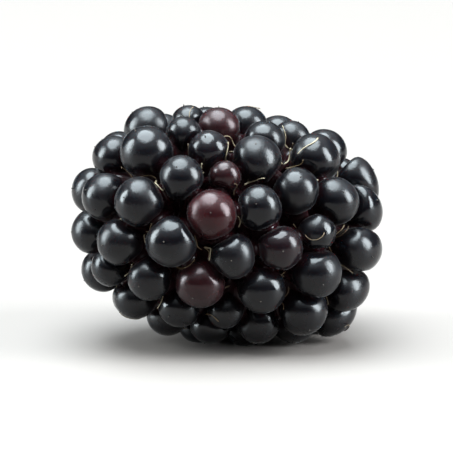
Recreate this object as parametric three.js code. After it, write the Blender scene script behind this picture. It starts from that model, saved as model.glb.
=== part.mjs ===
// A ripe bramble berry, picked and lying on its side. The head is one skin of juicy drupelets pressed
// together all round, and the short receptacle that the stalk held shows in a socket at its base.
// Units are millimetres, with +Z up. The origin is on the surface that the berry lies on, under the
// middle of the berry's bounding box.

import * as THREE from 'three';
import { ConvexHull } from 'three/addons/math/ConvexHull.js';

// The head: every drupelet's middle lies on one rounded, slightly tapered surface of revolution.
const HEAD_HALF_LENGTH = 12.3;
const HEAD_HALF_WIDTH = 9.1;
const HEAD_SQUARENESS = 2.7;
const TIP_TAPER = 0.05;

// How it lies: the tip points left, a little towards the viewer, and is raised off the surface.
const TIP_YAW = 12;
const TIP_RISE = 13;

// The drupelets, with sizes as shares of the usual one.
const DRUPELET_RADIUS = 2.13;
const FULLNESS = 1.03;
const SIZE_SPREAD = 0.09;
const TIP_SHRINK = 0.12;
const SPIRAL_COUNT = 82;
const SPIRAL_START = -0.7;
const SPIRAL_TURN = 137.5;
const SEED = 6;

// The ring of long drupelets round the base, and the socket that they leave in the middle.
const BASAL_COUNT = 10;
const BASAL_ALONG = -0.87;
const BASAL_PHASE = 7;
const BASAL_SIZE = 0.88;
const BASAL_STRETCH = 1.3;
const BASAL_REACH = 1.15;
const SOCKET_SIZE = 1.4;
const SOCKET_BORE = 2.05;
const SOCKET_MOUTH = 1.9;
const SOCKET_DEPTH = 5.2;

// The receptacle, a plug that fills the socket's bore but for a hair of clearance. Its end face is
// sunk below the head's own end.
const RECEPTACLE_GAP = 0.3;
const RECEPTACLE_SUNK = 1;
const RECEPTACLE_CROWN = 0.35;
const RECEPTACLE_SIDES = 20;

// Drupelets with a place of their own. Along runs from -1 at the base to 1 at the tip, and around is
// in degrees from the top of the head towards the viewer.
const PLACED = [
  { along: 0.31, around: 74, size: 1.17 },
  { along: 0.55, around: 94, size: 1.04 },
  { along: 0.83, around: 77, size: 1.06 },
  { along: 0.55, around: 55, size: 0.93 },
  { along: 0.77, around: 32, size: 1.08 },
  { along: 0.73, around: -18, size: 1.02 },
  { along: 0.41, around: -12, size: 0.84 },
  { along: 0.53, around: 20, size: 0.72 },
  { along: 0.22, around: 3, size: 0.93 },
  { along: 0.36, around: 37, size: 0.81 },
  { along: 0.26, around: 50, size: 0.7 },
  { along: -0.34, around: 5, size: 0.9 },
  { along: -0.45, around: 23, size: 1.02 },
  { along: -0.04, around: 65, size: 1.01 },
  { along: -0.31, around: 53, size: 1.02 },
  { along: -0.5, around: 72, size: 0.72 },
  { along: -0.23, around: 87, size: 0.95 },
  { along: 0.12, around: 95, size: 0.94 },
  { along: 0.29, around: 119, size: 1.01 },
  { along: -0.19, around: 114, size: 0.96 },
  { along: -0.56, around: 101, size: 1.02 },
  { along: -0.04, around: 139, size: 0.87 },
  { along: 0.86, around: 149, size: 0.84 },
];

// Three neighbours under the head's weight carry it, each on a small flat spot.
const FEET = [
  { along: 0.04, around: 180, size: 1 },
  { along: -0.28, around: 166, size: 1 },
  { along: -0.28, around: -166, size: 1 },
];
const FOOT_SINK = 0.3;
const FLOOR_CLEARANCE = 0.15;

// How the drupelets share out the room, are pressed together, and how finely their skins are cut.
const ELBOW_ROOM = 0.65;
const CROWDING = 1.22;
const SETTLE_STEPS = 90;
const EASE_STEPS = 12;
const EASE_GIVE = 0.2;
const PRESS_SHARPNESS = 12;
const CREASE_GAP = 0.03;
const CREASE_RISE = 0.12;
const SOCKET_CREASE_RISE = -0.4;
const HOLLOW_SINK = 0.4;
const GAP_DEEPENING = 2;
const RINGS = [0.22, 0.44, 0.66, 0.86];
const PROFILE_STEPS = 400;

function makeRandom(seed) {
  let state = seed;
  return () => {
    state = (state * 1664525 + 1013904223) % 4294967296;
    return state / 4294967296;
  };
}

// ---- The head's surface: x runs to the tip, z to the top of the head as it lies ----

function taperAt(x) {
  return 1 - (TIP_TAPER * x) / HEAD_HALF_LENGTH;
}

function widthAt(along) {
  const share = Math.max(0, 1 - Math.abs(along) ** HEAD_SQUARENESS);
  return HEAD_HALF_WIDTH * taperAt(along * HEAD_HALF_LENGTH) * share ** (1 / HEAD_SQUARENESS);
}

function pointOnHead(along, around) {
  const width = widthAt(along);
  const angle = THREE.MathUtils.degToRad(around);
  return new THREE.Vector3(along * HEAD_HALF_LENGTH, width * Math.sin(angle), width * Math.cos(angle));
}

function projectToHead(point) {
  const across = Math.hypot(point.y, point.z) / (HEAD_HALF_WIDTH * taperAt(point.x));
  const along = Math.abs(point.x) / HEAD_HALF_LENGTH;
  const level = along ** HEAD_SQUARENESS + across ** HEAD_SQUARENESS;
  point.multiplyScalar(level ** (-1 / HEAD_SQUARENESS));
}

function outwardOnHead(point) {
  const width = HEAD_HALF_WIDTH * taperAt(point.x);
  const across = Math.hypot(point.y, point.z);
  const power = HEAD_SQUARENESS - 1;
  const slopeAlong = (Math.abs(point.x) / HEAD_HALF_LENGTH) ** power / HEAD_HALF_LENGTH;
  const slopeAcross = (across / width) ** power / width;
  const share = across > 0 ? slopeAcross / across : 0;
  const outward = new THREE.Vector3(Math.sign(point.x) * slopeAlong, point.y * share, point.z * share);
  return outward.normalize();
}

// ---- Where the drupelets sit ----

function startDrupelets() {
  const random = makeRandom(SEED);
  const drupelets = [];
  for (let k = 0; k < SPIRAL_COUNT; k += 1) {
    const along = SPIRAL_START + ((1 - SPIRAL_START) * (k + 0.5)) / SPIRAL_COUNT;
    const shrink = TIP_SHRINK * Math.max(0, along) ** 3;
    const size = 1 - shrink + SIZE_SPREAD * (2 * random() - 1);
    drupelets.push({ centre: pointOnHead(along, k * SPIRAL_TURN), size, kind: 'free' });
  }
  return drupelets;
}

// The nearest drupelet that is still free moves to the given place and stays there.
function placeDrupelet(drupelets, { along, around, size }, kind) {
  const place = pointOnHead(along, around);
  const free = drupelets.filter((drupelet) => drupelet.kind === 'free');
  free.sort((a, b) => a.centre.distanceTo(place) - b.centre.distanceTo(place));
  free[0].centre.copy(place);
  free[0].size = size;
  free[0].kind = kind;
}

function addBase(drupelets) {
  for (let k = 0; k < BASAL_COUNT; k += 1) {
    const around = BASAL_PHASE + (360 * k) / BASAL_COUNT;
    drupelets.push({ centre: pointOnHead(BASAL_ALONG, around), size: BASAL_SIZE, kind: 'basal' });
  }
  drupelets.push({ centre: pointOnHead(-1, 0), size: SOCKET_SIZE, kind: 'socket' });
}

// Drops each free drupelet that would be squashed between ones with a place of their own.
function thinOut(drupelets) {
  const held = drupelets.filter((drupelet) => drupelet.kind !== 'free');
  return drupelets.filter((one) => one.kind !== 'free' || held.every((other) => {
    const touching = DRUPELET_RADIUS * (one.size + other.size);
    return one.centre.distanceTo(other.centre) >= ELBOW_ROOM * touching;
  }));
}

// Crowded drupelets push each other along the surface until the room is shared out. The ones with a
// place of their own hold it at first, and give way a little at the end.
function settle(drupelets) {
  const reach = (drupelet) => drupelet.size * (drupelet.kind === 'basal' ? BASAL_REACH : 1);
  for (let step = 0; step < SETTLE_STEPS + EASE_STEPS; step += 1) {
    const give = { free: 1, placed: step < SETTLE_STEPS ? 0 : EASE_GIVE };
    const pushes = drupelets.map((one) => {
      const push = new THREE.Vector3();
      for (const other of drupelets) {
        const away = one.centre.clone().sub(other.centre);
        const distance = away.length();
        const room = CROWDING * DRUPELET_RADIUS * (reach(one) + reach(other));
        if (other !== one && distance < room) push.addScaledVector(away, (room - distance) / distance / 4);
      }
      return push;
    });
    drupelets.forEach((drupelet, index) => {
      if (!give[drupelet.kind]) return;
      drupelet.centre.addScaledVector(pushes[index], give[drupelet.kind]);
      projectToHead(drupelet.centre);
    });
  }
}

// ---- Neighbours ----

// Conformal latitude along the head's profile, with the millimetres that one radian of it spans. On
// the unit sphere that it leads to, angles are true, so nearest neighbours are neighbours there too.
function makeSphereMap() {
  const stations = [];
  let stretch = 0;
  for (let step = 1; step < PROFILE_STEPS; step += 1) {
    const [x, width] = profilePoint(step);
    const [lastX, lastWidth] = profilePoint(step - 1);
    if (step > 1) stretch += (2 * Math.hypot(x - lastX, width - lastWidth)) / (width + lastWidth);
    stations.push({ x, width, stretch });
  }
  const middle = stations.reduce((best, at) => (Math.abs(at.x) < Math.abs(best.x) ? at : best)).stretch;
  return (point) => {
    const upper = Math.max(1, stations.findIndex((at) => at.x > point.x));
    const [low, high] = [stations[upper - 1], stations[upper]];
    const share = THREE.MathUtils.clamp((point.x - low.x) / (high.x - low.x), 0, 1);
    const here = THREE.MathUtils.lerp(low.stretch, high.stretch, share) - middle;
    const latitude = 2 * Math.atan(Math.exp(here)) - Math.PI / 2;
    const scale = THREE.MathUtils.lerp(low.width, high.width, share) / Math.cos(latitude);
    const across = Math.hypot(point.y, point.z) || 1;
    const direction = new THREE.Vector3(
      Math.sin(latitude),
      (Math.cos(latitude) * point.y) / across,
      (Math.cos(latitude) * point.z) / across,
    );
    return { direction: direction.normalize(), scale };
  };
}

function profilePoint(step) {
  const angle = (Math.PI * step) / PROFILE_STEPS;
  const along = -Math.sign(Math.cos(angle)) * Math.abs(Math.cos(angle)) ** (2 / HEAD_SQUARENESS);
  return [along * HEAD_HALF_LENGTH, widthAt(along)];
}

// Corners where three drupelets meet, as index triples that run anticlockwise seen from outside. A
// bigger drupelet is lifted a little further off the sphere, which gives it more neighbours.
function findMeetings(drupelets) {
  const toSphere = makeSphereMap();
  const lifted = drupelets.map((drupelet) => {
    const { direction, scale } = toSphere(drupelet.centre);
    const angularSize = (drupelet.size * DRUPELET_RADIUS) / scale;
    return direction.multiplyScalar(1 + angularSize ** 2 / 2);
  });
  const hull = new ConvexHull().setFromPoints(lifted);
  return hull.faces.map((face) => {
    const corners = [];
    let edge = face.edge;
    do {
      corners.push(lifted.indexOf(edge.head().point));
      edge = edge.next;
    } while (edge !== face.edge);
    return corners;
  });
}

// ---- From the head's own frame to how it lies ----

function makeLie() {
  const yaw = THREE.MathUtils.degToRad(TIP_YAW);
  const rise = THREE.MathUtils.degToRad(TIP_RISE);
  const tip = new THREE.Vector3(
    -Math.cos(rise) * Math.cos(yaw),
    -Math.cos(rise) * Math.sin(yaw),
    Math.sin(rise),
  );
  const top = new THREE.Vector3(0, 0, 1).addScaledVector(tip, -tip.z).normalize();
  const side = new THREE.Vector3().crossVectors(top, tip);
  return new THREE.Matrix4().makeBasis(tip, side, top);
}

// Each drupelet faces out of the head, but the feet face the floor.
function layDown(drupelets, lie) {
  const tip = new THREE.Vector3(1, 0, 0).transformDirection(lie);
  for (const drupelet of drupelets) {
    drupelet.outward = outwardOnHead(drupelet.centre).transformDirection(lie);
    if (drupelet.kind === 'foot') drupelet.outward.set(0, 0, -1);
    drupelet.around = new THREE.Vector3().crossVectors(tip, drupelet.outward).normalize();
    drupelet.lengthwise = new THREE.Vector3().crossVectors(drupelet.outward, drupelet.around);
    drupelet.centre.applyMatrix4(lie);
  }
}

// Stands the head on its feet, and centres it over the origin.
function setOnFloor(drupelets) {
  const feet = drupelets.filter((drupelet) => drupelet.kind === 'foot');
  const floor = Math.max(...feet.map((foot) => foot.centre.z - foot.radius)) + FOOT_SINK;
  for (const drupelet of drupelets) {
    const lowest = floor + drupelet.radius + FLOOR_CLEARANCE;
    if (drupelet.kind === 'foot') drupelet.centre.z = floor + drupelet.radius - FOOT_SINK;
    else if (drupelet.kind !== 'socket') drupelet.centre.z = Math.max(drupelet.centre.z, lowest);
  }
  const round = drupelets.filter((drupelet) => drupelet.kind !== 'socket');
  const middle = (axis) => {
    const low = Math.min(...round.map((one) => one.centre[axis] - one.radius));
    const high = Math.max(...round.map((one) => one.centre[axis] + one.radius));
    return (low + high) / 2;
  };
  const move = new THREE.Vector3(-middle('x'), -middle('y'), -floor);
  for (const drupelet of drupelets) drupelet.centre.add(move);
}

// ---- The skin ----

// How far a drupelet's middle is from the flat where it presses on a neighbour.
function pressDistance(one, other) {
  const distance = one.centre.distanceTo(other.centre);
  const [mine, theirs] = [one.size * DRUPELET_RADIUS, other.size * DRUPELET_RADIUS];
  return (distance ** 2 + mine ** 2 - theirs ** 2) / (2 * distance);
}

function linkNeighbours(drupelets, meetings) {
  for (const drupelet of drupelets) drupelet.following = new Map();
  meetings.forEach(([a, b, c], meeting) => {
    drupelets[a].following.set(b, { next: c, meeting });
    drupelets[b].following.set(c, { next: a, meeting });
    drupelets[c].following.set(a, { next: b, meeting });
  });
}

function measurePresses(drupelets) {
  for (const drupelet of drupelets) {
    drupelet.presses = [...drupelet.following.keys()].map((index) => {
      const other = drupelets[index];
      const direction = other.centre.clone().sub(drupelet.centre).normalize();
      return { direction, distance: pressDistance(drupelet, other), kind: other.kind };
    });
  }
}

// Each drupelet swells until it fills the room that its neighbours leave it.
function swell(drupelets) {
  for (const drupelet of drupelets) {
    const touching = drupelet.presses.filter((press) => press.kind !== 'socket');
    const room = touching.reduce((sum, press) => sum + press.distance, 0) / touching.length;
    drupelet.radius = FULLNESS * room;
  }
}

// A drupelet's skin along one direction from its middle: a plump ellipsoid, squeezed smoothly behind
// the flats where it presses on its neighbours, and flat where it stands on the floor.
function skinDistance(drupelet, direction) {
  const stretch = drupelet.kind === 'basal' ? BASAL_STRETCH : 1;
  const lengthwise = direction.dot(drupelet.lengthwise) / stretch;
  const free = Math.hypot(direction.dot(drupelet.outward), direction.dot(drupelet.around), lengthwise);
  let pressure = (free / drupelet.radius) ** PRESS_SHARPNESS;
  for (const press of drupelet.presses) {
    const facing = Math.max(0, direction.dot(press.direction));
    pressure += (facing / (press.distance - CREASE_GAP)) ** PRESS_SHARPNESS;
  }
  const distance = pressure ** (-1 / PRESS_SHARPNESS);
  const toFloor = direction.z < 0 ? -drupelet.centre.z / direction.z : Infinity;
  return Math.min(distance, toFloor);
}

// The foot of the crease between two drupelets, midway along it. It is deeper where they stand apart.
function creasePoint(one, other) {
  const direction = other.centre.clone().sub(one.centre).normalize();
  const outward = one.outward.clone().add(other.outward);
  outward.addScaledVector(direction, -outward.dot(direction)).normalize();
  const atSocket = one.kind === 'socket' || other.kind === 'socket';
  const gap = atSocket ? 0 : Math.max(0, one.centre.distanceTo(other.centre) - one.radius - other.radius);
  const rise = (atSocket ? SOCKET_CREASE_RISE : CREASE_RISE) * DRUPELET_RADIUS - GAP_DEEPENING * gap;
  const foot = one.centre.clone().addScaledVector(direction, pressDistance(one, other));
  return foot.addScaledVector(outward, rise);
}

// The bottom of the small hollow where three drupelets meet, as far from each as its size allows.
function hollowPoint(one, second, third) {
  const toSecond = second.centre.clone().sub(one.centre);
  const toThird = third.centre.clone().sub(one.centre);
  const normal = toSecond.clone().cross(toThird).normalize();
  const reachSecond = toSecond.length() * pressDistance(one, second);
  const reachThird = toThird.length() * pressDistance(one, third);
  const system = new THREE.Matrix3().set(...toSecond.toArray(), ...toThird.toArray(), ...normal.toArray());
  const offset = new THREE.Vector3(reachSecond, reachThird, 0).applyMatrix3(system.invert());
  const gap = Math.max(0, offset.length() - one.radius);
  offset.addScaledVector(normal, -HOLLOW_SINK * DRUPELET_RADIUS - gap);
  return one.centre.clone().add(offset);
}

// One closed skin, gathered vertex by vertex. Rings run anticlockwise seen from outside.
class Skin {
  constructor() {
    this.vertices = [];
    this.triangles = [];
  }

  addVertex(point) {
    return this.vertices.push(point) - 1;
  }

  addBand(inner, outer) {
    inner.forEach((corner, k) => {
      const after = (k + 1) % inner.length;
      this.triangles.push([corner, outer[k], outer[after]], [corner, outer[after], inner[after]]);
    });
  }

  addCap(middle, ring) {
    ring.forEach((corner, k) => this.triangles.push([middle, corner, ring[(k + 1) % ring.length]]));
  }

  toGeometry() {
    const geometry = new THREE.BufferGeometry();
    const positions = this.vertices.flatMap((vertex) => vertex.toArray());
    geometry.setAttribute('position', new THREE.Float32BufferAttribute(positions, 3));
    geometry.setIndex(this.triangles.flat());
    geometry.computeVertexNormals();
    return geometry;
  }
}

// The rim of each drupelet's skin: crease feet and hollow bottoms by turns, shared with its neighbours.
function makeRims(drupelets, meetings, skin) {
  const hollows = meetings.map((meeting) => {
    const [one, second, third] = meeting.map((index) => drupelets[index]);
    return skin.addVertex(hollowPoint(one, second, third));
  });
  const creases = new Map();
  const creaseBetween = (a, b) => {
    const [low, high] = [Math.min(a, b), Math.max(a, b)];
    const key = `${low}:${high}`;
    if (!creases.has(key)) creases.set(key, skin.addVertex(creasePoint(drupelets[low], drupelets[high])));
    return creases.get(key);
  };
  return drupelets.map(({ following }, index) => {
    const rim = [];
    const first = following.keys().next().value;
    let neighbour = first;
    do {
      const { next, meeting } = following.get(neighbour);
      rim.push(creaseBetween(index, neighbour), hollows[meeting]);
      neighbour = next;
    } while (neighbour !== first);
    return rim;
  });
}

function turnTowards(from, to, share) {
  const axis = new THREE.Vector3().crossVectors(from, to).normalize();
  return from.clone().applyAxisAngle(axis, from.angleTo(to) * share);
}

function addDrupelet(skin, drupelet, rim) {
  const addSkinVertex = (direction) => {
    const point = drupelet.centre.clone().addScaledVector(direction, skinDistance(drupelet, direction));
    point.z = Math.max(0, point.z);
    return skin.addVertex(point);
  };
  const spokes = rim.map((corner) => skin.vertices[corner].clone().sub(drupelet.centre).normalize());
  const middle = addSkinVertex(drupelet.outward);
  const rings = RINGS.map((share) => {
    return spokes.map((spoke) => addSkinVertex(turnTowards(drupelet.outward, spoke, share)));
  });
  rings.push(rim);
  skin.addCap(middle, rings[0]);
  for (let k = 1; k < rings.length; k += 1) skin.addBand(rings[k - 1], rings[k]);
}

// The socket: its rim slopes in to a bore, which ends flat.
function addSocket(skin, socket, rim, lie) {
  const toHead = lie.clone().invert();
  const placeInHead = (point) => skin.addVertex(point.applyMatrix4(lie).add(socket.centre));
  const boreRing = (depth) => rim.map((corner) => {
    const spoke = skin.vertices[corner].clone().sub(socket.centre).transformDirection(toHead);
    return placeInHead(spoke.setX(0).normalize().multiplyScalar(SOCKET_BORE).setX(depth));
  });
  const mouth = boreRing(SOCKET_MOUTH);
  const floor = boreRing(SOCKET_DEPTH);
  skin.addBand(mouth, rim);
  skin.addBand(floor, mouth);
  skin.addCap(placeInHead(new THREE.Vector3(SOCKET_DEPTH, 0, 0)), floor);
}

function makeHeadGeometry(drupelets, meetings, lie) {
  const skin = new Skin();
  const rims = makeRims(drupelets, meetings, skin);
  drupelets.forEach((drupelet, index) => {
    if (drupelet.kind === 'socket') addSocket(skin, drupelet, rims[index], lie);
    else addDrupelet(skin, drupelet, rims[index]);
  });
  return skin.toGeometry();
}

// ---- The receptacle ----

function makeReceptacleGeometry() {
  const radius = SOCKET_BORE - RECEPTACLE_GAP;
  const length = SOCKET_DEPTH - RECEPTACLE_GAP - RECEPTACLE_SUNK;
  const profile = [
    new THREE.Vector2(0, 0),
    new THREE.Vector2(radius, 0),
    new THREE.Vector2(radius, length - RECEPTACLE_CROWN),
    new THREE.Vector2(radius - RECEPTACLE_CROWN, length),
    new THREE.Vector2(0, length),
  ];
  return new THREE.LatheGeometry(profile, RECEPTACLE_SIDES);
}

// ---- The berry ----

const sprouts = startDrupelets();
for (const place of PLACED) placeDrupelet(sprouts, place, 'placed');
for (const place of FEET) placeDrupelet(sprouts, place, 'foot');
addBase(sprouts);
const drupelets = thinOut(sprouts);
settle(drupelets);

const meetings = findMeetings(drupelets);
const lie = makeLie();
linkNeighbours(drupelets, meetings);
layDown(drupelets, lie);
measurePresses(drupelets);
swell(drupelets);
setOnFloor(drupelets);
measurePresses(drupelets);

const blackSkin = new THREE.MeshStandardMaterial({ color: 0x15101a, roughness: 0.22, metalness: 0 });
const head = new THREE.Mesh(makeHeadGeometry(drupelets, meetings, lie), blackSkin);
head.name = 'drupelets';

const greenPith = new THREE.MeshStandardMaterial({ color: 0x6f7639, roughness: 0.8, metalness: 0 });
const receptacle = new THREE.Mesh(makeReceptacleGeometry(), greenPith);
receptacle.name = 'receptacle';
const outOfBase = new THREE.Vector3(-1, 0, 0).transformDirection(lie);
receptacle.quaternion.setFromUnitVectors(new THREE.Vector3(0, 1, 0), outOfBase);
receptacle.position.copy(drupelets.at(-1).centre);
receptacle.position.addScaledVector(outOfBase, RECEPTACLE_GAP - SOCKET_DEPTH);

const berry = new THREE.Group();
berry.add(head, receptacle);

export default berry;
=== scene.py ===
import itertools
import math

import bpy
import numpy as np
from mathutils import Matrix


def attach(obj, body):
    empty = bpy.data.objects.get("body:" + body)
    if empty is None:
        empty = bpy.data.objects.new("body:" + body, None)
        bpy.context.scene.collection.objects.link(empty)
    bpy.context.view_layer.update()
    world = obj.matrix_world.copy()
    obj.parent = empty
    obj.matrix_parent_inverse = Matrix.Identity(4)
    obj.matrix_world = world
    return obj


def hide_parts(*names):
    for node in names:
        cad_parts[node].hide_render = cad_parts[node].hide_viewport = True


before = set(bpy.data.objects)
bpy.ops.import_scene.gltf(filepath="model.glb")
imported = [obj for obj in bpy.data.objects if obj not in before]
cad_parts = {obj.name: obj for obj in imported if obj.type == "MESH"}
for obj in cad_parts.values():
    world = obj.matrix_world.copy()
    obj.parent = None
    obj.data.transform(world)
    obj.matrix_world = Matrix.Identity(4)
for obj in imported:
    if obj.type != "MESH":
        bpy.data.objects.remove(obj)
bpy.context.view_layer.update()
MM = 0.001


# ---- The head ----
# The head is 86 drupelets, taut skins full of juice, grown round a short core. They sit on one
# rounded surface, each pressed a little flat where it meets its neighbours, with a deep crease
# between. The skin is black with a purple cast, and a few are still wine red.

HEAD_HALF_LENGTH = 12.3
HEAD_HALF_WIDTH = 9.1
HEAD_SQUARENESS = 2.7
TIP_TAPER = 0.05
TIP_YAW = 12
TIP_RISE = 13

DRUPELET_RADIUS = 2.13
FULLNESS = 0.97
SIZE_SPREAD = 0.09
TIP_SHRINK = 0.12
SPIRAL_COUNT = 82
SPIRAL_START = -0.7
SPIRAL_TURN = 137.5
SEED = 6
# Each draw is the last one times the factor plus the step, within the range.
DRAW_FACTOR = 1664525
DRAW_STEP = 1013904223
DRAW_RANGE = 2**32

BASAL_COUNT = 10
BASAL_ALONG = -0.87
BASAL_PHASE = 7
BASAL_SIZE = 0.88
BASAL_STRETCH = 1.3
BASAL_REACH = 1.15
SOCKET_SIZE = 1.4
SOCKET_BORE = 2.05
SOCKET_MOUTH = 1.9
SOCKET_DEPTH = 5.2
TINY = 1e-9
NUDGE = 1e-12

# Along the head, degrees round it, size, and how red the drupelet still is.
PLACED = [
    (0.31, 74, 1.17, 0.57),
    (0.55, 94, 1.04, 0.0),
    (0.83, 77, 1.06, 0.0),
    (0.55, 55, 0.93, 0.0),
    (0.77, 32, 1.08, 0.0),
    (0.73, -18, 1.02, 0.0),
    (0.41, -12, 0.84, 0.0),
    (0.53, 20, 0.72, 0.0),
    (0.22, 3, 0.93, 0.46),
    (0.36, 37, 0.81, 0.05),
    (0.26, 50, 0.7, 0.4),
    (-0.34, 5, 0.9, 0.0),
    (-0.45, 23, 1.02, 0.0),
    (-0.04, 65, 1.01, 0.0),
    (-0.31, 53, 1.02, 0.0),
    (-0.5, 72, 0.72, 0.0),
    (-0.23, 87, 0.95, 0.2),
    (0.12, 95, 0.94, 0.0),
    (0.29, 119, 1.01, 0.44),
    (-0.19, 114, 0.96, 0.0),
    (-0.56, 101, 1.02, 0.0),
    (-0.04, 139, 0.87, 0.0),
    (0.86, 149, 0.84, 0.0),
]
FEET = [(0.04, 180, 1, 0.0), (-0.28, 166, 1, 0.0), (-0.28, -166, 1, 0.0)]
FOOT_SINK = 0.3
FLOOR_CLEARANCE = 0.15

ELBOW_ROOM = 0.65
CROWDING = 1.22
SETTLE_PUSH = 0.25
SETTLE_STEPS = 90
EASE_STEPS = 12
EASE_GIVE = 0.2
# The furthest apart that drupelets of one hollow stand, on a unit sphere.
MEETING_REACH = 1
PRESS_SHARPNESS = 11
CREASE_GAP = 0.17
CREASE_RISE = 0.12
SOCKET_CREASE_RISE = -0.4
HOLLOW_SINK = 0.4
GAP_DEEPENING = 2
PROFILE_STEPS = 400
# How deep in shade a crease at the socket and the socket's own wall are, where other creases are 1.
SOCKET_CREASE_DEPTH = 0.75
SOCKET_WALL_DEPTH = 0.8

RIM_SPLIT = 4
# Where the rings of a skin lie, from 0 at the drupelet's apex to 1 at its rim.
RINGS = [*np.linspace(0.07, 0.91, 13), 0.965]
RIM_FOLLOWING = 4
# How many swellings a drupelet has, their least and most width in radians, and their height.
SWELLINGS = [(6, (0.45, 0.9), 0.05), (12, (0.2, 0.35), 0.012)]
DENTED_SHARE = 0.12
DENT_WIDTH = (0.3, 0.5)
DENT_DEPTH = (0.04, 0.08)
RELIEF_SEED = 3
MOTTLE_SHARE = 0.12


def unit(vectors):
    return vectors / np.linalg.norm(vectors, axis=-1, keepdims=True)


def taper_at(x):
    return 1 - TIP_TAPER * x / HEAD_HALF_LENGTH


def width_at(along):
    share = np.maximum(0, 1 - np.abs(along) ** HEAD_SQUARENESS)
    return HEAD_HALF_WIDTH * taper_at(along * HEAD_HALF_LENGTH) * share ** (1 / HEAD_SQUARENESS)


def point_on_head(along, around):
    width, angle = width_at(along), math.radians(around)
    return np.array([along * HEAD_HALF_LENGTH, width * math.sin(angle), width * math.cos(angle)])


def project_to_head(points):
    across = np.hypot(points[:, 1], points[:, 2]) / (HEAD_HALF_WIDTH * taper_at(points[:, 0]))
    along = np.abs(points[:, 0]) / HEAD_HALF_LENGTH
    level = along**HEAD_SQUARENESS + across**HEAD_SQUARENESS
    return points * (level ** (-1 / HEAD_SQUARENESS))[:, None]


def outward_on_head(points):
    width = HEAD_HALF_WIDTH * taper_at(points[:, 0])
    across = np.hypot(points[:, 1], points[:, 2])
    power = HEAD_SQUARENESS - 1
    slope_along = (np.abs(points[:, 0]) / HEAD_HALF_LENGTH) ** power / HEAD_HALF_LENGTH
    share = (across / width) ** power / width / np.maximum(across, TINY)
    slopes = [np.sign(points[:, 0]) * slope_along, points[:, 1] * share, points[:, 2] * share]
    return unit(np.stack(slopes, axis=1))


def grow_drupelets():
    """Where each drupelet sits on the head, with its size, redness and kind, as four arrays."""
    state = SEED
    centres, sizes, redness, kinds = [], [], [], []
    for k in range(SPIRAL_COUNT):
        state = (state * DRAW_FACTOR + DRAW_STEP) % DRAW_RANGE
        along = SPIRAL_START + (1 - SPIRAL_START) * (k + 0.5) / SPIRAL_COUNT
        shrink = TIP_SHRINK * max(0, along) ** 3
        centres.append(point_on_head(along, k * SPIRAL_TURN))
        sizes.append(1 - shrink + SIZE_SPREAD * (2 * state / DRAW_RANGE - 1))
        redness.append(0.0)
        kinds.append("free")
    places = [(place, "placed") for place in PLACED] + [(place, "foot") for place in FEET]
    for (along, around, size, red), kind in places:
        place = point_on_head(along, around)
        free = [index for index in range(SPIRAL_COUNT) if kinds[index] == "free"]
        nearest = min(free, key=lambda index: np.linalg.norm(centres[index] - place))
        centres[nearest], sizes[nearest], redness[nearest], kinds[nearest] = place, size, red, kind
    for k in range(BASAL_COUNT):
        centres.append(point_on_head(BASAL_ALONG, BASAL_PHASE + 360 * k / BASAL_COUNT))
        sizes.append(BASAL_SIZE)
        redness.append(0.0)
        kinds.append("basal")
    centres.append(point_on_head(-1, 0))
    sizes.append(SOCKET_SIZE)
    redness.append(0.0)
    kinds.append("socket")
    return np.array(centres), np.array(sizes), np.array(redness), np.array(kinds)


def distances_between(points):
    apart = np.linalg.norm(points[:, None] - points[None], axis=2)
    np.fill_diagonal(apart, np.inf)
    return apart


def thin_out(centres, sizes, kinds):
    """True for each drupelet that has elbow room from the ones with a place of their own."""
    room = ELBOW_ROOM * DRUPELET_RADIUS * (sizes[:, None] + sizes[None])
    held = kinds != "free"
    squashed = ((distances_between(centres) < room) & held[None]).any(axis=1)
    return held | ~squashed


def settle(centres, sizes, kinds):
    reach = sizes * np.where(kinds == "basal", BASAL_REACH, 1)
    room = CROWDING * DRUPELET_RADIUS * (reach[:, None] + reach[None])
    for step in range(SETTLE_STEPS + EASE_STEPS):
        placed_give = 0 if step < SETTLE_STEPS else EASE_GIVE
        give = np.where(kinds == "free", 1, np.where(kinds == "placed", placed_give, 0))
        apart = distances_between(centres)
        strength = np.where(apart < room, (room / apart - 1) * SETTLE_PUSH, 0)
        push = ((centres[:, None] - centres[None]) * strength[:, :, None]).sum(axis=1)
        moving = give > 0
        moved = centres + push * give[:, None]
        centres = np.where(moving[:, None], project_to_head(moved), centres)
    return centres


def conformal_directions(centres):
    """The head's centres spread over a unit sphere with true angles, and the scale there."""
    angles = np.pi * np.arange(1, PROFILE_STEPS) / PROFILE_STEPS
    along = -np.sign(np.cos(angles)) * np.abs(np.cos(angles)) ** (2 / HEAD_SQUARENESS)
    x, width = along * HEAD_HALF_LENGTH, width_at(along)
    steps = 2 * np.hypot(np.diff(x), np.diff(width)) / (width[1:] + width[:-1])
    stretch = np.concatenate([[0], np.cumsum(steps)])
    middle = stretch[np.argmin(np.abs(x))]
    latitude = 2 * np.arctan(np.exp(np.interp(centres[:, 0], x, stretch) - middle)) - np.pi / 2
    scale = np.interp(centres[:, 0], x, width) / np.cos(latitude)
    across = np.maximum(np.hypot(centres[:, 1], centres[:, 2]), TINY)
    sideways = (np.cos(latitude) / across)[:, None] * centres[:, 1:]
    return unit(np.column_stack([np.sin(latitude), sideways])), scale


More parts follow.
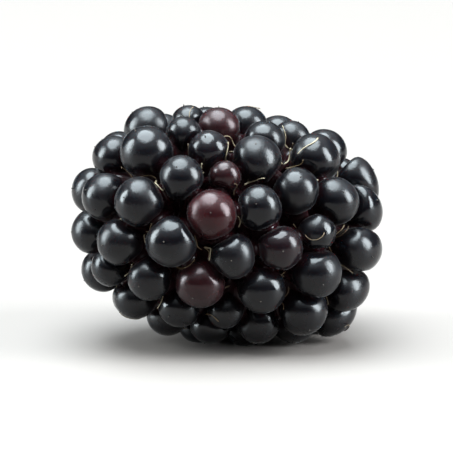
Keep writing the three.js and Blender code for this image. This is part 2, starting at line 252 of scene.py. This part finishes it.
def find_meetings(centres, sizes):
    """Index triples of drupelets that meet in one hollow, anticlockwise seen from outside."""
    directions, scale = conformal_directions(centres)
    lifted = directions * (1 + (sizes * DRUPELET_RADIUS / scale) ** 2 / 2)[:, None]
    triples = np.array(list(itertools.combinations(range(len(lifted)), 3)))
    apart = np.linalg.norm(lifted[triples] - lifted[triples[:, [1, 2, 0]]], axis=2)
    triples = triples[apart.max(axis=1) < MEETING_REACH]
    one, second, third = lifted[triples[:, 0]], lifted[triples[:, 1]], lifted[triples[:, 2]]
    normals = np.cross(second - one, third - one)
    turned = (normals * one).sum(axis=1) < 0
    triples[turned] = triples[turned][:, [0, 2, 1]]
    normals[turned] *= -1
    beyond = normals @ lifted.T - (normals * one).sum(axis=1, keepdims=True)
    return triples[beyond.max(axis=1) < TINY]


def head_lie():
    """Turns the head's own frame, with x to the tip and z to the top, to how the berry lies."""
    yaw, rise = math.radians(TIP_YAW), math.radians(TIP_RISE)
    level = math.cos(rise)
    tip = np.array([-level * math.cos(yaw), -level * math.sin(yaw), math.sin(rise)])
    top = unit(np.array([0, 0, 1.0]) - tip * tip[2])
    return np.stack([tip, np.cross(top, tip), top])


def press_distance(one, other):
    apart = np.linalg.norm(centres[one] - centres[other])
    mine, theirs = sizes[one] * DRUPELET_RADIUS, sizes[other] * DRUPELET_RADIUS
    return (apart**2 + mine**2 - theirs**2) / (2 * apart)


centres, sizes, redness, kinds = grow_drupelets()
kept = thin_out(centres, sizes, kinds)
centres, sizes, redness, kinds = centres[kept], sizes[kept], redness[kept], kinds[kept]
centres = settle(centres, sizes, kinds)
meetings = find_meetings(centres, sizes)
socket = len(centres) - 1

following = [{} for _ in centres]
for number, (a, b, c) in enumerate(meetings.tolist()):
    following[a][b] = (c, number)
    following[b][c] = (a, number)
    following[c][a] = (b, number)

lie = head_lie()
outward = outward_on_head(centres) @ lie
outward[kinds == "foot"] = (0, 0, -1)
sideways = unit(np.cross(lie[0], outward + NUDGE))
lengthwise = np.cross(outward, sideways)
centres = centres @ lie

round_ones = [index for index in range(len(centres)) if kinds[index] != "socket"]
radii = np.zeros(len(centres))
for index in round_ones:
    rooms = [press_distance(index, other) for other in following[index] if other != socket]
    radii[index] = FULLNESS * np.mean(rooms)

feet = kinds == "foot"
floor_level = (centres[feet, 2] - radii[feet]).max() + FOOT_SINK
centres[feet, 2] = floor_level + radii[feet] - FOOT_SINK
for index in round_ones:
    if not feet[index]:
        centres[index, 2] = max(centres[index, 2], floor_level + radii[index] + FLOOR_CLEARANCE)
low = (centres[round_ones] - radii[round_ones, None]).min(axis=0)
high = (centres[round_ones] + radii[round_ones, None]).max(axis=0)
centres -= np.array([(low[0] + high[0]) / 2, (low[1] + high[1]) / 2, floor_level])


def grow_relief(rng):
    """Low swellings and shallow dents over a drupelet, as direction, width and height rows."""
    relief = []
    for count, (narrow, wide), height in SWELLINGS:
        for _ in range(count):
            middle = unit(rng.normal(size=3))
            relief.append((middle, rng.uniform(narrow, wide), rng.uniform(-height, height)))
    if rng.random() < DENTED_SHARE:
        middle = unit(rng.normal(size=3))
        relief.append((middle, rng.uniform(*DENT_WIDTH), -rng.uniform(*DENT_DEPTH)))
    return relief


def relief_of(index, directions):
    """What a drupelet's reach is multiplied by along each direction."""
    relief = np.ones(len(directions))
    for middle, width, height in reliefs[index]:
        relief += height * np.exp((directions @ middle - 1) / width**2 * 2)
    return relief


skin_random = np.random.default_rng(RELIEF_SEED)
reliefs = [grow_relief(skin_random) for _ in centres]


def skin_distance(index, directions):
    """How far a drupelet's skin is from its middle, along each direction."""
    neighbours = list(following[index])
    press_directions = unit(centres[neighbours] - centres[index])
    press_reach = np.array([press_distance(index, other) for other in neighbours]) - CREASE_GAP
    stretch = BASAL_STRETCH if kinds[index] == "basal" else 1
    free = np.sqrt(
        (directions @ outward[index]) ** 2
        + (directions @ sideways[index]) ** 2
        + (directions @ lengthwise[index] / stretch) ** 2
    )
    facing = np.maximum(0, directions @ press_directions.T) / press_reach
    pressure = (free / radii[index]) ** PRESS_SHARPNESS + (facing**PRESS_SHARPNESS).sum(axis=1)
    distance = pressure ** (-1 / PRESS_SHARPNESS) * relief_of(index, directions)
    down = np.minimum(directions[:, 2], -TINY)
    return np.minimum(distance, -centres[index, 2] / down)


def crease_foot(one, other):
    direction = unit(centres[other] - centres[one])
    facing = outward[one] + outward[other]
    facing = unit(facing - direction * (facing @ direction))
    if socket in (one, other):
        rise = SOCKET_CREASE_RISE * DRUPELET_RADIUS
    else:
        gap = max(0, np.linalg.norm(centres[one] - centres[other]) - radii[one] - radii[other])
        rise = CREASE_RISE * DRUPELET_RADIUS - GAP_DEEPENING * gap
    return centres[one] + direction * press_distance(one, other) + facing * rise, facing


def hollow_bottom(one, second, third):
    to_second, to_third = centres[second] - centres[one], centres[third] - centres[one]
    normal = unit(np.cross(to_second, to_third))
    reaches = [
        np.linalg.norm(to_second) * press_distance(one, second),
        np.linalg.norm(to_third) * press_distance(one, third),
        0,
    ]
    offset = np.linalg.solve(np.stack([to_second, to_third, normal]), reaches)
    gap = max(0, np.linalg.norm(offset) - radii[one])
    return centres[one] + offset - normal * (HOLLOW_SINK * DRUPELET_RADIUS + gap)


class Skin:
    """One closed skin, gathered vertex by vertex. Rings run anticlockwise seen from outside."""

    def __init__(self):
        self.points, self.faces, self.values, self.depths = [], [], [], []

    def add(self, points, value, depth=0.0):
        first = len(self.points)
        self.points.extend(points)
        self.values.extend([value] * len(points))
        self.depths.extend([depth] * len(points))
        return list(range(first, len(self.points)))

    def band(self, inner, outer):
        count = len(inner)
        for k in range(count):
            after = (k + 1) % count
            self.faces.append((inner[k], outer[k], outer[after], inner[after]))

    def cap(self, middle, ring):
        for k, corner in enumerate(ring):
            self.faces.append((middle, corner, ring[(k + 1) % len(ring)]))

    def mesh(self, name):
        mesh = bpy.data.meshes.new(name)
        mesh.from_pydata([tuple(point * MM) for point in self.points], [], self.faces)
        mesh.polygons.foreach_set("use_smooth", [True] * len(mesh.polygons))
        return mesh


def depth_of(*meeting):
    """How far a crease is from the light, less where it opens into the socket's dry wall."""
    return SOCKET_CREASE_DEPTH if socket in meeting else 1.0


head = Skin()
hollows = [head.add([hollow_bottom(*meeting)], 0.0, depth_of(*meeting))[0] for meeting in meetings]
edges = {}


def half_crease(one, other, hollow):
    """Vertices from the foot of a crease down to one end of it, the hollow's bottom left out."""
    low, high = min(one, other), max(one, other)
    if (low, high) not in edges:
        foot, facing = crease_foot(low, high)
        corner = head.add([foot], 0.0, depth_of(one, other))[0]
        edges[low, high] = {"foot": corner, "facing": facing}
    edge = edges[low, high]
    if hollow not in edge:
        start, end = head.points[edge["foot"]], head.points[hollow]
        drop = (start - end) @ edge["facing"]
        shares = [k / RIM_SPLIT for k in range(1, RIM_SPLIT)]
        points = [
            start + (end - start) * share + edge["facing"] * drop * share * (1 - share)
            for share in shares
        ]
        edge[hollow] = head.add(points, 0.0, depth_of(one, other))
    return edge["foot"], edge[hollow]


def rim_of(index):
    rim = []
    first = next(iter(following[index]))
    neighbour = first
    while True:
        after, number = following[index][neighbour]
        foot, falling = half_crease(index, neighbour, hollows[number])
        _, rising = half_crease(index, after, hollows[number])
        rim += [foot, *falling, hollows[number], *reversed(rising)]
        neighbour = after
        if neighbour == first:
            return rim


def skin_ring(index, azimuths, leans, share):
    """Directions of one ring of the skin, evenly spaced near the apex and along the rim below."""
    count = len(azimuths)
    even = np.sign(azimuths[-1] - azimuths[0]) * 2 * np.pi * np.arange(count) / count
    even += (azimuths - even).mean()
    turns = even + (azimuths - even) * share**RIM_FOLLOWING
    level = np.cos(turns)[:, None] * sideways[index] + np.sin(turns)[:, None] * lengthwise[index]
    lean = (leans * share)[:, None]
    return np.cos(lean) * outward[index] + np.sin(lean) * level


def add_drupelet(index):
    rim = rim_of(index)
    spokes = unit(np.array([head.points[corner] for corner in rim]) - centres[index])
    azimuths = np.unwrap(np.arctan2(spokes @ lengthwise[index], spokes @ sideways[index]))
    leans = np.arccos(spokes @ outward[index])

    def add_ring(directions, share):
        points = centres[index] + directions * skin_distance(index, directions)[:, None]
        points[:, 2] = np.maximum(points[:, 2], 0)
        return head.add(points, redness[index], share)

    middle = add_ring(outward[index][None], 0.0)[0]
    rings = [add_ring(skin_ring(index, azimuths, leans, share), share) for share in RINGS]
    rings.append(rim)
    head.cap(middle, rings[0])
    for inner, outer in zip(rings, rings[1:]):
        head.band(inner, outer)
    return rim


def add_socket():
    rim = rim_of(socket)
    spokes = (np.array([head.points[corner] for corner in rim]) - centres[socket]) @ lie.T
    spokes[:, 0] = 0
    spokes = unit(spokes) * SOCKET_BORE

    def bore_ring(depth):
        points = (spokes + [depth, 0, 0]) @ lie + centres[socket]
        return head.add(points, 0.0, SOCKET_WALL_DEPTH)

    mouth, bottom = bore_ring(SOCKET_MOUTH), bore_ring(SOCKET_DEPTH)
    middle = head.add([np.array([SOCKET_DEPTH, 0, 0]) @ lie + centres[socket]], 0.0)[0]
    head.band(mouth, rim)
    head.band(bottom, mouth)
    head.cap(middle, bottom)


rim_corners = set()
for index in round_ones:
    rim_corners.update(add_drupelet(index))
add_socket()


def write_layer(mesh, name, values):
    """A named value for each vertex, which the mesh's material reads."""
    layer = mesh.attributes.new(name, "FLOAT", "POINT")
    layer.data.foreach_set("value", values)


head_mesh = head.mesh("head_of_drupelets")
write_layer(head_mesh, "redness", head.values)
# The depth layer holds how deep each vertex lies in a crease. The skin's material turns it into
# painted shade.
write_layer(head_mesh, "depth", head.depths)
pairs = np.zeros(2 * len(head_mesh.edges), dtype=int)
head_mesh.edges.foreach_get("vertices", pairs)
on_rim = np.isin(pairs, list(rim_corners)).reshape(-1, 2).all(axis=1)
sharp_layer = head_mesh.attributes.new("sharp_edge", "BOOLEAN", "EDGE")
sharp_layer.data.foreach_set("value", on_rim)


def new_material(name):
    material = bpy.data.materials.new(name)
    material.use_nodes = True
    return material, material.node_tree.nodes, material.node_tree.links


def attribute(nodes, name):
    node = nodes.new("ShaderNodeAttribute")
    node.attribute_name = name
    return node


def noise(nodes, links, scale, detail):
    """A noise texture that is fixed in the piece's own space."""
    place = nodes.new("ShaderNodeTexCoord")
    node = nodes.new("ShaderNodeTexNoise")
    node.inputs["Scale"].default_value = scale
    node.inputs["Detail"].default_value = detail
    links.new(place.outputs["Object"], node.inputs["Vector"])
    return node


def multiply_add(nodes, links, value, factor):
    """A node for the value times the factor, plus what its third input is given."""
    node = nodes.new("ShaderNodeMath")
    node.operation = "MULTIPLY_ADD"
    node.inputs[1].default_value = factor
    links.new(value, node.inputs[0])
    return node


def ramp(nodes, links, value, stops):
    """A colour ramp node through the given (place, colour) stops."""
    node = nodes.new("ShaderNodeValToRGB")
    elements = node.color_ramp.elements
    while len(elements) < len(stops):
        elements.new(0.5)
    for element, (place, colour) in zip(elements, stops):
        element.position = place
        element.color = (*colour, 1)
    links.new(value, node.inputs["Fac"])
    return node


def roughen(nodes, links, shader, height, strength, distance):
    """A fine relief on the shader's surface, with its distance in metres."""
    node = nodes.new("ShaderNodeBump")
    node.inputs["Strength"].default_value = strength
    node.inputs["Distance"].default_value = distance
    links.new(height, node.inputs["Height"])
    links.new(node.outputs["Normal"], shader.inputs["Normal"])


def add_object(name, mesh, material):
    mesh.materials.append(material)
    thing = bpy.data.objects.new(name, mesh)
    bpy.context.collection.objects.link(thing)
    return thing


def drupelet_skin():
    material, nodes, links = new_material("taut_black_skin")
    shader = nodes["Principled BSDF"]
    shader.inputs["IOR"].default_value = 1.33
    shader.inputs["Sheen Weight"].default_value = 0.06
    shader.inputs["Sheen Roughness"].default_value = 0.25
    shader.inputs["Subsurface Weight"].default_value = 0.25
    shader.inputs["Subsurface Radius"].default_value = (1.0, 0.15, 0.12)
    shader.inputs["Subsurface Scale"].default_value = 0.0009

    mottle = noise(nodes, links, 330, 4)
    ripening = multiply_add(nodes, links, mottle.outputs["Fac"], MOTTLE_SHARE)
    links.new(attribute(nodes, "redness").outputs["Fac"], ripening.inputs[2])
    skin = ramp(
        nodes,
        links,
        ripening.outputs[0],
        [
            (0.0, (0.0016, 0.0018, 0.0024)),
            (0.12, (0.0030, 0.0020, 0.0030)),
            (0.35, (0.007, 0.0028, 0.0034)),
            (0.6, (0.012, 0.0030, 0.0036)),
            (1.0, (0.036, 0.0050, 0.0060)),
        ],
    )

    # Painted shade: deep in the creases and on the socket wall, the skin's colour is mixed toward a
    # dark maroon by the depth layer.
    depth = attribute(nodes, "depth").outputs["Fac"]
    crease_shade = ramp(nodes, links, depth, [(0.7, (0, 0, 0)), (1.0, (1, 1, 1))])
    tint = nodes.new("ShaderNodeMix")
    tint.data_type = "RGBA"
    tint.inputs["B"].default_value = (0.012, 0.0026, 0.0036, 1)
    links.new(crease_shade.outputs["Color"], tint.inputs["Factor"])
    links.new(skin.outputs["Color"], tint.inputs["A"])
    links.new(tint.outputs["Result"], shader.inputs["Base Color"])

    glint = ramp(nodes, links, ripening.outputs[0], [(0.15, (1, 1, 1)), (0.7, (1, 0.78, 0.79))])
    links.new(glint.outputs["Color"], shader.inputs["Specular Tint"])

    bloom = nodes.new("ShaderNodeMapRange")
    bloom.inputs["From Min"].default_value = 0.32
    bloom.inputs["From Max"].default_value = 0.68
    bloom.inputs["To Min"].default_value = 0.11
    bloom.inputs["To Max"].default_value = 0.38
    links.new(mottle.outputs["Fac"], bloom.inputs["Value"])
    links.new(bloom.outputs["Result"], shader.inputs["Roughness"])

    pores = noise(nodes, links, 4200, 3)
    roughen(nodes, links, shader, pores.outputs["Fac"], 0.5, 0.03 * MM)
    return material


head_object = add_object("head_of_drupelets", head_mesh, drupelet_skin())
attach(head_object, "root")
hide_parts("drupelets")


# ---- The receptacle ----
# The core that the drupelets grew on stays in this fruit. All that shows is its torn end, an olive
# green plug of pith and fibres, sunk in the hollow that the stalk left.

RECEPTACLE_GAP = 0.3
RECEPTACLE_SUNK = 1
RECEPTACLE_CROWN = 0.35
FLUTE_COUNT = 15
FLUTE_DEPTH = 0.06
FLUTE_WANDER = 0.8
PLUG_SIDES = 120
PLUG_WALL_RINGS = 14
PLUG_END_RINGS = 16
PLUG_FOOT_SHARE = 0.9
PLUG_FOOT_BEVEL = 0.08
TEAR_DEPTH = 0.3
TEAR_WIDTH = 0.55
RAGGED_HEIGHT = 0.12
LIP_WAVES = (3, 7, 13, 22)
LIP_DROP = 0.2
FRAYED_SHARE = 0.6
FRAYED_WAVES = (5, 11, 19, 31)
# How torn and pale the plug is: at the top of its wall, in its middle, and over its end to the rim.
WALL_TORN = 0.2
MIDDLE_TORN = 0.2
END_TORN = 0.25
RIM_TORN = 0.85
PLUG_SEED = 11

FIBRE_COUNT = 46
FIBRE_PLACE = (0.45, 0.93)
FIBRE_LEAN = 0.5
FIBRE_LENGTH = (0.25, 0.62)
FIBRE_ROOT = 0.35
FIBRE_POINTS = 6
FIBRE_BEND = 0.5
FIBRE_RADIUS = 0.05
FIBRE_TIP = 0.15
FIBRE_SIDES = 5
FIBRE_TORN = (0.5, 1.0)
FIBRE_TALLEST = 0.2
FIBRE_TALLEST_SLOPE = 0.02
THREAD_SIDEWAYS = (0.3, 0.5, 0.8)

TORN_SHARE = 0.55
FLECK_SPREAD = 1.5
FLECK_SHIFT = -0.62

out_of_base = -lie[0]
plug_foot = centres[socket] + out_of_base * (RECEPTACLE_GAP - SOCKET_DEPTH)
plug_radius = SOCKET_BORE - RECEPTACLE_GAP
plug_length = SOCKET_DEPTH - RECEPTACLE_GAP - RECEPTACLE_SUNK
plug_axes = np.stack([lie[2], lie[1], out_of_base])
plug_random = np.random.default_rng(PLUG_SEED)


def ragged(angles, random_source, waves):
    """A closed uneven wave round the plug, between about -1 and 1."""
    total = np.zeros(len(angles))
    for wave in waves:
        total += np.sin(wave * angles + random_source.uniform(0, 2 * np.pi)) / len(waves) ** 0.5
    return total


def tube(skin, path, radii, sides, value):
    """A thin closed thread along a path, with one radius for each point of it."""
    forward = unit(np.gradient(path, axis=0))
    side = unit(np.cross(forward[0], THREAD_SIDEWAYS))
    first = skin.add([path[0]], value)[0]
    ring = None
    for k in range(1, len(path) - 1):
        side = unit(side - forward[k] * (side @ forward[k]))
        up = np.cross(forward[k], side)
        turns = 2 * np.pi * np.arange(sides) / sides
        circle = np.cos(turns)[:, None] * side + np.sin(turns)[:, None] * up
        after = skin.add(path[k] + circle * radii[k], value)
        if ring:
            skin.band(after, ring)
        else:
            skin.cap(first, after[::-1])
        ring = after
    last = skin.add([path[-1]], value)[0]
    skin.cap(last, ring)


plug = Skin()
turns = 2 * np.pi * np.arange(PLUG_SIDES) / PLUG_SIDES
flutes = FLUTE_DEPTH * (0.5 + 0.5 * np.cos(FLUTE_COUNT * turns + FLUTE_WANDER * np.sin(3 * turns)))
lip = RAGGED_HEIGHT * ragged(turns, plug_random, LIP_WAVES)
wall_radius = plug_radius - flutes


def plug_ring(radius, height, value):
    heights = np.broadcast_to(height, turns.shape)
    around = np.stack([np.cos(turns) * radius, np.sin(turns) * radius, heights], axis=1)
    return plug.add(around @ plug_axes + plug_foot, value)


shoulder = plug_length - RECEPTACLE_CROWN
plug_rings = [plug_ring(wall_radius * PLUG_FOOT_SHARE, 0, 0.0)]
for k in range(PLUG_WALL_RINGS):
    share = k / (PLUG_WALL_RINGS - 1)
    height = (shoulder + lip - LIP_DROP) * share + PLUG_FOOT_BEVEL * (1 - share)
    plug_rings.append(plug_ring(wall_radius, height, WALL_TORN * share))
for k in range(PLUG_END_RINGS):
    share = 1 - (k + 0.5) / PLUG_END_RINGS
    crown = RECEPTACLE_CROWN * (1 - share**3)
    tear = TEAR_DEPTH * math.exp(-((share * plug_radius / TEAR_WIDTH) ** 2))
    frayed = RAGGED_HEIGHT * FRAYED_SHARE * ragged(turns, plug_random, FRAYED_WAVES)
    frayed *= min(1, share * 2)
    height = shoulder + crown - tear + frayed + lip * share**2 - RAGGED_HEIGHT
    torn = END_TORN + (RIM_TORN - END_TORN) * share**3
    plug_rings.append(plug_ring(wall_radius * share, height, torn))
for below, above in zip(plug_rings, plug_rings[1:]):
    plug.band(above, below)
plug_bottom = plug.add([plug_foot], 0.0)[0]
plug.cap(plug_bottom, plug_rings[0][::-1])
middle_height = shoulder + RECEPTACLE_CROWN - TEAR_DEPTH - RAGGED_HEIGHT
plug_middle = plug.add([plug_foot + out_of_base * middle_height], MIDDLE_TORN)[0]
plug.cap(plug_middle, plug_rings[-1])

for _ in range(FIBRE_COUNT):
    turn = plug_random.uniform(0, 2 * math.pi)
    from_axis = plug_radius * plug_random.uniform(*FIBRE_PLACE)
    lean = plug_random.normal(0, FIBRE_LEAN, 2)
    length = plug_random.uniform(*FIBRE_LENGTH)
    steps = np.linspace(-FIBRE_ROOT, 1, FIBRE_POINTS)
    height = shoulder + steps * length
    bend = steps**2 * length * FIBRE_BEND
    fibre = np.stack(
        [
            np.cos(turn) * from_axis + lean[0] * bend,
            np.sin(turn) * from_axis + lean[1] * bend,
            height,
        ],
        axis=1,
    )
    tallest = plug_length + FIBRE_TALLEST + FIBRE_TALLEST_SLOPE * steps
    fibre[:, 2] = np.minimum(fibre[:, 2], tallest)
    thickness = FIBRE_RADIUS * (1 + FIBRE_TIP - steps)
    torn = plug_random.uniform(*FIBRE_TORN)
    tube(plug, fibre @ plug_axes + plug_foot, thickness, FIBRE_SIDES, torn)

plug_mesh = plug.mesh("torn_green_plug")
write_layer(plug_mesh, "torn", plug.values)


def green_pith():
    material, nodes, links = new_material("torn_green_pith")
    shader = nodes["Principled BSDF"]
    shader.inputs["Roughness"].default_value = 0.7
    fleck = noise(nodes, links, 2600, 5)
    fleck.inputs["Roughness"].default_value = 0.7
    spread = multiply_add(nodes, links, fleck.outputs["Fac"], FLECK_SPREAD)
    spread.inputs[2].default_value = FLECK_SHIFT
    mixed = multiply_add(nodes, links, attribute(nodes, "torn").outputs["Fac"], TORN_SHARE)
    links.new(spread.outputs[0], mixed.inputs[2])
    greens = ramp(
        nodes,
        links,
        mixed.outputs[0],
        [
            (0.0, (0.012, 0.008, 0.004)),
            (0.35, (0.03, 0.032, 0.008)),
            (0.7, (0.07, 0.08, 0.02)),
            (1.0, (0.3, 0.31, 0.17)),
        ],
    )
    links.new(greens.outputs["Color"], shader.inputs["Base Color"])
    roughen(nodes, links, shader, fleck.outputs["Fac"], 0.6, 0.1 * MM)
    return material


plug_object = add_object("torn_green_plug", plug_mesh, green_pith())
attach(plug_object, "root")
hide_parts("receptacle")


# ---- The dried styles ----
# Each drupelet once carried a style, a thread to the flower's middle. Dry and tan by the time the
# fruit is ripe, they lie curled over the drupelets and in the creases, or have left a brown stub.

STYLE_SEED = 5
STYLE_STEPS = 18
STYLE_SIDES = 6
STYLE_RADIUS = (0.035, 0.055)
STYLE_DRYNESS = (0.2, 0.9)
# A style's thickness at its foot and at its tip, and its knob, as shares of its own radius.
STYLE_TAPER = (1.25, 0.5)
STYLE_KNOB = 1.7
APEX_SHARE = 0.3
APEX_LENGTH = (1.4, 3.4)
APEX_LEAN = 0.25
APEX_SCATTER = 0.12
APEX_ROOT = 0.04
HOLLOW_SHARE = 0.5
HOLLOW_LENGTH = (1.3, 3.2)
HOLLOW_START = 0.9
# Along the head, degrees round it, and how many stout styles stand up from the hollow there.
STANDING = [
    (-0.29, 18, 2),
    (-0.25, 34, 2),
    (0.09, 22, 1),
    (0.06, 54, 1),
    (-0.45, 42, 1),
    (0.85, -4, 1),
    (0.27, 97, 1),
    (0.49, 2, 1),
    (0.18, 40, 1),
    (-0.38, 150, 1),
    (0.95, 66, 1),
    (0.7, 60, 1),
    (0.73, 6, 1),
    (0.4, 48, 1),
]
STANDING_RADIUS = (0.05, 0.07)
STANDING_LENGTH = (1.6, 2.8)
STANDING_DRYNESS = (0.85, 1.0)
STYLE_CURL = 0.4
STYLE_WAVER = 0.6
STYLE_HOOK = 1.2
STYLE_TIGHTEST = 0.8
STYLE_LIFT = (0.05, 0.35)
STYLE_DIP = 0.1
STYLE_SMOOTHING = 4
STYLE_FLOOR_ROOM = 0.3
STUB_LENGTH = (0.12, 0.3)
STUB_RADIUS = 0.07
STUB_TAPER = (1, 1, 0.8, 0.55, 0)
STUB_LEAN = 0.4
STUB_ROOT = 0.05
STUB_DRYNESS = (0.0, 0.08)

style_random = np.random.default_rng(STYLE_SEED)


def nearest_skin(point):
    """The drupelet whose skin a point is nearest to, and how far outside that skin it is."""
    away = point - centres
    apart = np.linalg.norm(away, axis=1)
    near = [index for index in round_ones if apart[index] < 2 * DRUPELET_RADIUS]
    if not near:
        return None, np.inf
    rooms = []
    for index in near:
        direction = away[index][None] / apart[index]
        rooms.append(apart[index] - skin_distance(index, direction)[0])
    return near[np.argmin(rooms)], min(rooms)


def lay_style(point, up, heading, length):
    """A path that leaves a point of the head, lies along the skins and lifts off at its end."""
    step = length / STYLE_STEPS
    path = [point]
    bend = style_random.normal(0, STYLE_CURL)
    for k in range(1, STYLE_STEPS):
        share = k / (STYLE_STEPS - 1)
        heading = unit(heading - up * (heading @ up))
        bend += style_random.normal(0, STYLE_WAVER)
        hooked = np.clip(bend, -STYLE_TIGHTEST, STYLE_TIGHTEST) * (1 + STYLE_HOOK * share**3)
        heading = unit(heading + np.cross(up, heading) * hooked * step)
        point = point + heading * step
        near, room = nearest_skin(point)
        if near is not None:
            up = unit(up + unit(point - centres[near]))
            lift = STYLE_LIFT[0] + (STYLE_LIFT[1] - STYLE_LIFT[0]) * share**3
            point = point + unit(point - centres[near]) * max(lift - room, -STYLE_DIP)
        path.append(point)
    path = np.array(path)
    for _ in range(STYLE_SMOOTHING):
        path[1:-1] = (path[:-2] + 2 * path[1:-1] + path[2:]) / 4
    return path


def add_style(path, radii=STYLE_RADIUS, dryness=STYLE_DRYNESS):
    """A style along the path, unless that comes too near the surface the berry lies on."""
    if path[:, 2].min() < STYLE_FLOOR_ROOM:
        return
    thickness = style_random.uniform(*radii) * np.linspace(*STYLE_TAPER, len(path))
    thickness[-2] *= STYLE_KNOB
    tube(styles, path, thickness, STYLE_SIDES, style_random.uniform(*dryness))


def add_stub(index, start, heading):
    length = style_random.uniform(*STUB_LENGTH)
    base = centres[index] + start * (skin_distance(index, start[None])[0] - STUB_ROOT)
    lean = unit(start + STUB_LEAN * unit(heading))
    path = base + np.linspace(0, 1, len(STUB_TAPER))[:, None] * lean * length
    thickness = STUB_RADIUS * np.array(STUB_TAPER)
    tube(styles, path, thickness, STYLE_SIDES, style_random.uniform(*STUB_DRYNESS))


styles = Skin()
for index in round_ones:
    if feet[index]:
        continue
    scatter = APEX_SCATTER * style_random.normal(size=3)
    start = unit(outward[index] + APEX_LEAN * lie[0] + scatter)
    heading = style_random.normal(size=3)
    if style_random.random() < APEX_SHARE:
        base = centres[index] + start * (skin_distance(index, start[None])[0] - APEX_ROOT)
        add_style(lay_style(base, start, heading, style_random.uniform(*APEX_LENGTH)))
    else:
        add_stub(index, start, heading)
hollow_points = np.array([head.points[hollow] for hollow in hollows])
hollow_ups = np.array([unit(outward[meeting].sum(axis=0)) for meeting in meetings])
for meeting, point, up in zip(meetings, hollow_points, hollow_ups):
    heading = style_random.normal(size=3)
    length = style_random.uniform(*HOLLOW_LENGTH)
    if style_random.random() < HOLLOW_SHARE and socket not in meeting:
        add_style(lay_style(point + up * HOLLOW_START, up, heading, length))
head_middle = centres[round_ones].mean(axis=0)
for along, around, count in STANDING:
    place = point_on_head(along, around) @ lie + head_middle
    nearest = np.argmin(np.linalg.norm(hollow_points - place, axis=1))
    point, up = hollow_points[nearest], hollow_ups[nearest]
    for _ in range(count):
        heading = style_random.normal(size=3)
        length = style_random.uniform(*STANDING_LENGTH)
        path = lay_style(point + up * HOLLOW_START, up, heading, length)
        add_style(path, STANDING_RADIUS, STANDING_DRYNESS)

style_mesh = styles.mesh("dried_styles")
write_layer(style_mesh, "dryness", styles.values)


def dry_thread():
    material, nodes, links = new_material("dry_tan_thread")
    shader = nodes["Principled BSDF"]
    shader.inputs["Roughness"].default_value = 0.55
    tans = ramp(
        nodes,
        links,
        attribute(nodes, "dryness").outputs["Fac"],
        [
            (0.0, (0.010, 0.006, 0.004)),
            (0.5, (0.12, 0.078, 0.035)),
            (1.0, (0.31, 0.26, 0.17)),
        ],
    )
    links.new(tans.outputs["Color"], shader.inputs["Base Color"])
    return material


style_object = add_object("dried_styles", style_mesh, dry_thread())
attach(style_object, "root")


# ---- The studio ----
# A plain matt table that reads white under an overhead softbox and a smaller one at each side, in a
# room that glows only overhead. The camera looks a little down on the berry through a long lens.

CAMERA_ELEVATION = 12
CAMERA_DISTANCE = 0.46
CAMERA_LENS = 400
AIM_HEIGHT = 0.0105
BERRY_MIDDLE = (0, 0, 0.011)
FLOOR_SIZE = 3.0


def aim(thing, target):
    across, along, up = np.array(target) - np.array(thing.location)
    pitch = math.pi / 2 + math.atan2(up, math.hypot(across, along))
    thing.rotation_euler = (pitch, 0, math.atan2(-across, along))


def softbox(name, place, width, height, power, colour):
    lamp = bpy.data.lights.new(name, "AREA")
    lamp.shape = "ELLIPSE"
    lamp.size, lamp.size_y = width, height
    lamp.energy = power
    lamp.color = colour
    thing = bpy.data.objects.new(name, lamp)
    thing.location = place
    aim(thing, BERRY_MIDDLE)
    bpy.context.collection.objects.link(thing)


# Where each softbox stands, its width and height in metres, its power in watts and its colour.
softbox("overhead_softbox", (-0.087, 0.0, 1.0), 1.2, 0.97, 59.0, (0.82, 0.94, 1.0))
softbox("right_softbox", (0.76, -0.16, 0.36), 0.45, 0.8, 28.0, (0.86, 0.95, 1.0))
softbox("left_softbox", (-0.8, 0.0, 0.31), 0.38, 0.77, 21.0, (0.84, 0.95, 1.0))

table_mesh = bpy.data.meshes.new("table")
half = FLOOR_SIZE / 2
corners = [(-half, -half, 0), (half, -half, 0), (half, half, 0), (-half, half, 0)]
table_mesh.from_pydata(corners, [], [(0, 1, 2, 3)])
table_paint, table_nodes, _ = new_material("white_table")
table_nodes["Principled BSDF"].inputs["Base Color"].default_value = (0.152, 0.132, 0.12, 1)
table_nodes["Principled BSDF"].inputs["Roughness"].default_value = 0.6
table = add_object("table", table_mesh, table_paint)

world = bpy.data.worlds.new("room_that_glows_overhead")
bpy.context.scene.world = world
world.use_nodes = True
room, room_links = world.node_tree.nodes, world.node_tree.links
direction_node = room.new("ShaderNodeTexCoord")
split = room.new("ShaderNodeSeparateXYZ")
glow = room.new("ShaderNodeMapRange")
glow.interpolation_type = "SMOOTHSTEP"
glow.inputs["From Min"].default_value = 0.3
glow.inputs["From Max"].default_value = 1.0
glow.inputs["To Min"].default_value = 0.02
glow.inputs["To Max"].default_value = 2.0
room["Background"].inputs["Color"].default_value = (0.85, 0.94, 1.0, 1)
room_links.new(direction_node.outputs["Generated"], split.inputs["Vector"])
room_links.new(split.outputs["Z"], glow.inputs["Value"])
room_links.new(glow.outputs["Result"], room["Background"].inputs["Strength"])

camera = bpy.data.objects.new("camera", bpy.data.cameras.new("camera"))
bpy.context.collection.objects.link(camera)
camera.data.lens = CAMERA_LENS
tilt = math.radians(CAMERA_ELEVATION)
camera.location = (
    0,
    -CAMERA_DISTANCE * math.cos(tilt),
    AIM_HEIGHT + CAMERA_DISTANCE * math.sin(tilt),
)
camera.rotation_euler = (math.pi / 2 - tilt, 0, 0)
camera.data.clip_start = 0.01
bpy.context.scene.camera = camera
bpy.context.scene.view_settings.view_transform = "Standard"
